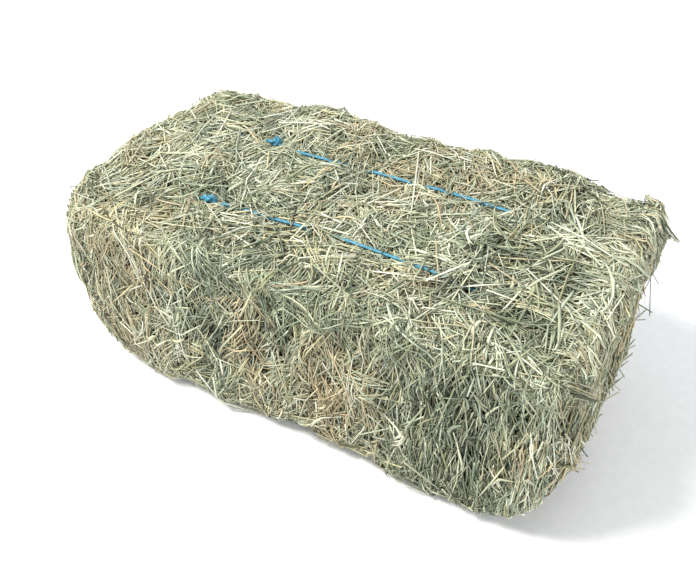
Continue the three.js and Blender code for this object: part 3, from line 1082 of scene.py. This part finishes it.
def hay_material():
    """Dry stems and leaf blades. Each palette cell is one strand's skin: along it in u, round it in v."""
    n = Nodes("hay")
    u, v = n.coordinates()
    cell_u, cell_v = n.times(u, COLUMNS), n.times(v, ROWS)
    column, row = n.math("FLOOR", cell_u), n.math("FLOOR", cell_v)
    along, round_it = n.math("FRACT", cell_u), n.math("FRACT", cell_v)
    stops = [((i + 0.5) / len(TONES), linear(tone)) for i, tone in enumerate(TONES.values())]
    tone = n.ramp(n.math("DIVIDE", n.math("ADD", row, 0.5), ROWS), stops)

    # Every cell is a little lighter or darker than the next, and yellower or greyer.
    light = n.map(n.chance(column, row, 3.0), 0, 1, 0.87, 1.14)
    tint = n.mix(n.chance(row, column, 8.0), (1.03, 1.0, 0.93, 1), (0.98, 1.0, 1.04, 1))
    tone = n.mix(1.0, tone, tint, "MULTIPLY")

    # Fine fibres along the strand, blotches from weather and browned ends.
    fibres = n.noise(n.times(along, 5.0), n.times(cell_v, 7.0), column, 3.0)
    light = n.times(light, n.map(fibres, 0.3, 0.7, 0.84, 1.14))
    blotches = n.noise(n.times(cell_u, 7.0), n.times(cell_v, 0.9), 5.0)
    tone = n.mix(n.map(blotches, 0.56, 0.72, 0.0, 0.4), tone, (*linear((156, 144, 112)), 1))
    ends = n.math("MAXIMUM", n.map(along, 0.0, 0.06, 1.0, 0.0), n.map(along, 0.9, 1.0, 0.0, 1.0))
    tone = n.mix(n.times(ends, 0.5), tone, (*linear((176, 164, 126)), 1))

    # Stems have joints, a dark ring over a pale one. Blades have a pale midrib.
    stem = n.math("LESS_THAN", column, STEM_COLUMNS - 0.5)
    joint = n.math("ABSOLUTE", n.math("SUBTRACT", n.math("FRACT", n.times(along, 2.6)), 0.5))
    dark_ring = n.times(n.map(joint, 0.0, 0.035, 1.0, 0.0), stem)
    pale_ring = n.times(n.map(joint, 0.03, 0.12, 0.35, 0.0), stem)
    midrib = n.map(n.math("ABSOLUTE", n.math("SUBTRACT", round_it, 0.5)), 0.02, 0.1, 0.3, 0.0)
    rib = n.times(midrib, n.math("SUBTRACT", 1.0, stem))
    tone = n.mix(n.math("MAXIMUM", pale_ring, rib), tone, (*linear((220, 220, 196)), 1))
    tone = n.mix(n.times(dark_ring, 0.6), tone, (*linear((112, 92, 58)), 1))
    n.put(n.shader.inputs["Base Color"], n.mix(1.0, tone, n.vector(light, light, light), "MULTIPLY"))
    n.put(n.shader.inputs["Roughness"], n.map(fibres, 0.3, 0.7, 0.62, 0.44))
    n.shader.inputs["Specular IOR Level"].default_value = 0.4
    n.bump(fibres, 0.35, 0.4 * MM)
    return n.material


def string_material():
    """Fibrillated polypropylene: blue film split into fine shining fibres, the palest of them painted
    highlights.
    """
    n = Nodes("twine")
    u, v = n.coordinates()
    fibres = n.noise(n.times(u, 9.0), n.times(v, 34.0), 1.0, 3.0)
    wear = n.noise(n.times(u, 14.0), n.times(v, 3.0), 7.0)
    # The ramp runs from deep to light blue along the fibres; its pale blue-white top is painted highlight on
    # the fibres.
    stops = [
        (0.26, linear((24, 84, 108))),
        (0.44, linear((46, 122, 150))),
        (0.58, linear((70, 152, 178))),
        (0.74, linear((168, 206, 216))),
    ]
    tone = n.ramp(fibres, stops)
    tone = n.mix(n.map(wear, 0.58, 0.75, 0.0, 0.5), tone, (*linear((132, 164, 176)), 1))
    n.put(n.shader.inputs["Base Color"], tone)
    n.put(n.shader.inputs["Roughness"], n.map(fibres, 0.3, 0.7, 0.5, 0.3))
    n.bump(fibres, 0.5, 0.5 * MM)
    return n.material


def floor_material():
    """Plain pale studio floor."""
    n = Nodes("floor")
    place = n.add("ShaderNodeTexCoord")
    speckle = n.add("ShaderNodeTexNoise")
    speckle.inputs["Scale"].default_value = 60.0
    n.put(speckle.inputs["Vector"], place.outputs["Object"])
    stops = [(0.3, (0.86,) * 3), (0.7, (0.9,) * 3)]
    n.put(n.shader.inputs["Base Color"], n.ramp(speckle.outputs["Fac"], stops))
    n.shader.inputs["Roughness"].default_value = 0.8
    return n.material


# ---- Camera, light and floor ----


def make_camera():
    """The photograph's angle and framing."""
    azimuth, elevation, roll = (np.radians(angle) for angle in CAMERA_ANGLES.values())
    level = np.cos(elevation)
    back = np.array([np.sin(azimuth) * level, -np.cos(azimuth) * level, np.sin(elevation)])
    right = np.cross(-back, [0, 0, 1])
    right /= np.linalg.norm(right)
    up = np.cross(back, right)
    cos, sin = np.cos(roll), np.sin(roll)
    right, up = right * cos + up * sin, up * cos - right * sin
    data = bpy.data.cameras.new("camera")
    data.sensor_width = 36.0
    data.lens = CAMERA_LENS
    data.shift_x, data.shift_y = CAMERA_SHIFT
    camera = bpy.data.objects.new("camera", data)
    bpy.context.scene.collection.objects.link(camera)
    matrix = Matrix(np.stack([right, up, back], 1).tolist()).to_4x4()
    matrix.translation = Vector(CAMERA_TARGET + back * CAMERA_DISTANCE)
    camera.matrix_world = matrix
    bpy.context.scene.camera = camera


def area_light(name, place, size, power, colour):
    """A round soft light aimed at the bale."""
    data = bpy.data.lights.new(name, "AREA")
    data.shape = "DISK"
    data.size = size
    data.energy = power
    data.color = colour
    lamp = bpy.data.objects.new(name, data)
    lamp.location = place
    aim = Vector((0, 0, HEIGHT / 2)) - Vector(place)
    lamp.rotation_euler = aim.to_track_quat("-Z", "Y").to_euler()
    bpy.context.scene.collection.objects.link(lamp)


def make_studio():
    """Lights, sky and floor."""
    for name, settings in LIGHTS.items():
        area_light(name, *settings)
    world = bpy.data.worlds.new("world")
    world.use_nodes = True
    background = world.node_tree.nodes["Background"]
    background.inputs["Color"].default_value = SKY_COLOUR
    background.inputs["Strength"].default_value = SKY_STRENGTH
    bpy.context.scene.world = world
    bpy.ops.mesh.primitive_plane_add(size=12)
    floor = bpy.context.active_object
    floor.name = "floor"
    floor.data.materials.append(floor_material())
    bpy.context.scene.view_settings.view_transform = "Standard"


def wear(piece, node, slot):
    """Puts a mesh in the place of a CAD piece: hangs it under the root body and hides the piece. The slot is
    not used.
    """
    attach(piece, "root")
    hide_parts(node)


make_camera()
make_studio()
hay = hay_material()
for index, name in enumerate(FLAKES):
    wear(build_flake(index, name, hay), name, "hay")
blue = string_material()
for index, (name, y) in enumerate(STRINGS.items()):
    wear(build_string(index, name, y, blue), name, "twine")
